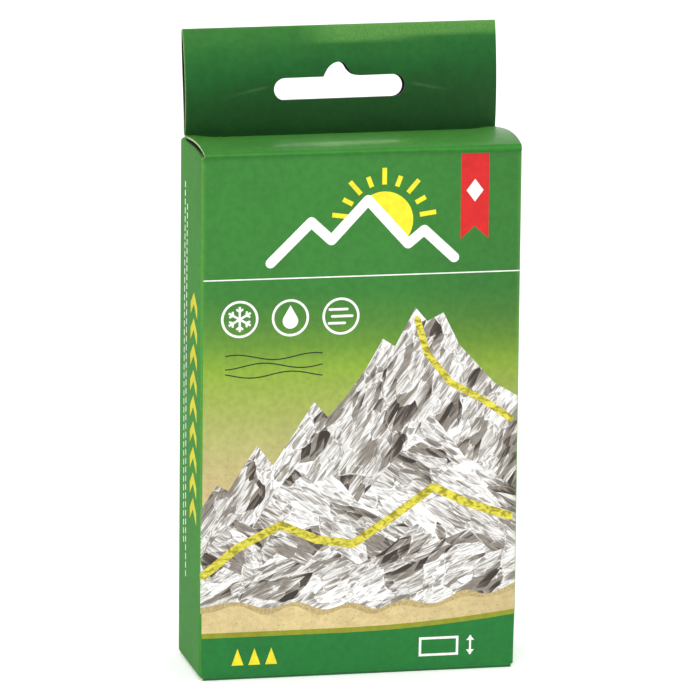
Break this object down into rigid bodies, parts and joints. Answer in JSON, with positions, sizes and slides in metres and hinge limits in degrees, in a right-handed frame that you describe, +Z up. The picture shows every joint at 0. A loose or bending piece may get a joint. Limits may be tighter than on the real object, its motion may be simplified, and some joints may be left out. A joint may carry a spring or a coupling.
{
  "type": "hang-tab folding carton",
  "caption": "Upright paperboard retail carton, closed, with a bowed top panel, a folded double-ply hang tab with a euro slot, and a tuck-in lid at the bottom.",
  "frame": {"origin": "on the floor, at the middle of the bottom lid's outer face", "axes": "+Z up towards the hang tab, -Y out of the printed front, +X to the viewer's right"},
  "size_m": [0.0788, 0.0293, 0.1567],
  "materials": {
    "printed_front": null,
    "printed_green": "printed green and gloss varnished",
    "printed_side": "printed green and gloss varnished",
    "bare_board": "uncoated grey-white board"
  },
  "bodies": {
    "carton": {"front_panel": "printed_front", "back_panel": "printed_green", "left_side_panel": "printed_side", "right_side_panel": "printed_side", "seam_flap": "bare_board", "top_panel": "printed_green", "hang_tab": "printed_green", "hang_tab_glue_flap": "printed_green", "top_dust_flap_left": "printed_side", "top_dust_flap_right": "printed_side"},
    "lid": {"bottom_lid": "printed_green", "bottom_tuck_flap": "printed_green"},
    "dust_flap_left": {"bottom_dust_flap_left": "printed_side"},
    "dust_flap_right": {"bottom_dust_flap_right": "printed_side"}
  },
  "joints": [
    {"name": "lid_fold", "type": "hinge", "parent": "carton", "child": "lid", "pos_m": [0, -0.014, 0], "axis": [-1, 0, 0], "range_deg": [0, 120]},
    {"name": "dust_flap_left_fold", "type": "hinge", "parent": "carton", "child": "dust_flap_left", "pos_m": [-0.0388, 0, 0.0011], "axis": [0, -1, 0], "range_deg": [0, 80]},
    {"name": "dust_flap_right_fold", "type": "hinge", "parent": "carton", "child": "dust_flap_right", "pos_m": [0.0388, 0, 0.0011], "axis": [0, 1, 0], "range_deg": [0, 80]}
  ]
}
